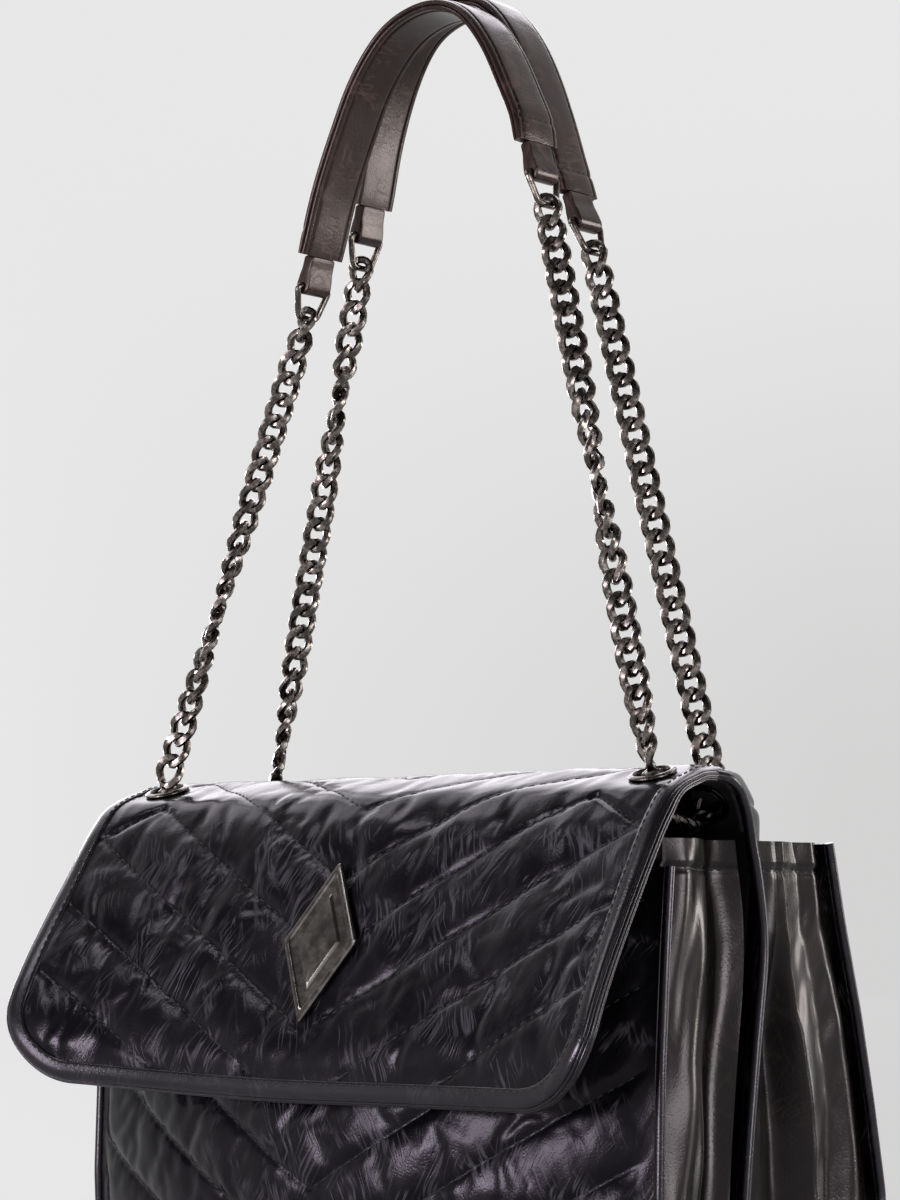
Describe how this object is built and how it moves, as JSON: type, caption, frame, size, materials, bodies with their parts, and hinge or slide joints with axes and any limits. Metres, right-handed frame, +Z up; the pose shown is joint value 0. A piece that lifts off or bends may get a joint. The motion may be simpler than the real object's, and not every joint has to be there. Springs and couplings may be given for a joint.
{
  "type": "flap shoulder bag",
  "caption": "Soft box-shaped shoulder bag with a fold-over front flap, an open rear compartment and chain straps with leather shoulder pads.",
  "frame": {"origin": "middle of the base panel's underside between its left and right edges, on the surface the bag stands on", "axes": "+X to the right of someone facing the flap, the flap faces -Y, +Z up"},
  "size_m": [0.2778, 0.1959, 0.4998],
  "materials": {
    "crinkled_leather": "glossy crinkled leather, black",
    "smooth_leather": "smooth glossy leather, black",
    "pad_leather": "smooth leather, dark red-brown black",
    "lining_suede": "napped lining, black",
    "white_wadding": "soft fibre wadding",
    "stiff_board": "pressed fibre board",
    "aged_gunmetal": "aged gunmetal plating, satin"
  },
  "bodies": {
    "bag_body": {"back_lining": "lining_suede", "back_panel": "crinkled_leather", "back_piping_left": "smooth_leather", "back_piping_right": "smooth_leather", "base_board": "stiff_board", "base_panel": "smooth_leather", "front_lining": "lining_suede", "front_panel": "crinkled_leather", "front_piping": "smooth_leather", "front_wadding": "white_wadding", "magnet_socket": "aged_gunmetal", "magnet_socket_plate": "aged_gunmetal", "main_gusset_left": "smooth_leather", "main_gusset_right": "smooth_leather", "rear_gusset_left": "smooth_leather", "rear_gusset_right": "smooth_leather", "rear_lining": "lining_suede", "rear_panel": "crinkled_leather", "rear_piping": "smooth_leather", "slip_pocket": "lining_suede"},
    "crown": {"crown_leather": "crinkled_leather", "crown_lining": "lining_suede", "crown_piping_left": "smooth_leather", "crown_piping_right": "smooth_leather", "eyelet_front_left": "aged_gunmetal", "eyelet_front_right": "aged_gunmetal", "eyelet_rear_left": "aged_gunmetal", "eyelet_rear_right": "aged_gunmetal", "eyelet_washer_front_left": "aged_gunmetal", "eyelet_washer_front_right": "aged_gunmetal", "eyelet_washer_rear_left": "aged_gunmetal", "eyelet_washer_rear_right": "aged_gunmetal", "inner_chain_left": "aged_gunmetal", "inner_chain_right": "aged_gunmetal"},
    "front_flap": {"emblem_plate": "aged_gunmetal", "emblem_washer_lower": "aged_gunmetal", "emblem_washer_upper": "aged_gunmetal", "flap_leather": "crinkled_leather", "flap_lining": "lining_suede", "flap_piping": "smooth_leather", "flap_wadding": "white_wadding", "magnet_stud": "aged_gunmetal", "magnet_stud_plate": "aged_gunmetal"},
    "front_strap": {"front_chain_left": "aged_gunmetal", "front_chain_right": "aged_gunmetal", "front_pad_leather": "pad_leather", "front_pad_lining": "pad_leather", "front_pad_tab_left": "pad_leather", "front_pad_tab_right": "pad_leather", "front_ring_left": "aged_gunmetal", "front_ring_right": "aged_gunmetal"},
    "rear_strap": {"rear_chain_left": "aged_gunmetal", "rear_chain_right": "aged_gunmetal", "rear_pad_leather": "pad_leather", "rear_pad_lining": "pad_leather", "rear_pad_tab_left": "pad_leather", "rear_pad_tab_right": "pad_leather", "rear_ring_left": "aged_gunmetal", "rear_ring_right": "aged_gunmetal"}
  },
  "joints": [
    {"name": "crown_hinge", "type": "hinge", "parent": "bag_body", "child": "crown", "pos_m": [0, 0.0059, 0.182], "axis": [-1, 0, 0], "range_deg": [0, 60]},
    {"name": "flap_hinge", "type": "hinge", "parent": "crown", "child": "front_flap", "pos_m": [0, -0.07099, 0.18908], "axis": [-1, 0, 0], "range_deg": [0, 100]},
    {"name": "front_strap_hinge", "type": "hinge", "parent": "crown", "child": "front_strap", "pos_m": [0, -0.05235, 0.20301], "axis": [1, 0, 0], "range_deg": [0, 30]},
    {"name": "rear_strap_hinge", "type": "hinge", "parent": "crown", "child": "rear_strap", "pos_m": [0, -0.00132, 0.19682], "axis": [-1, 0, 0], "range_deg": [0, 30]}
  ]
}
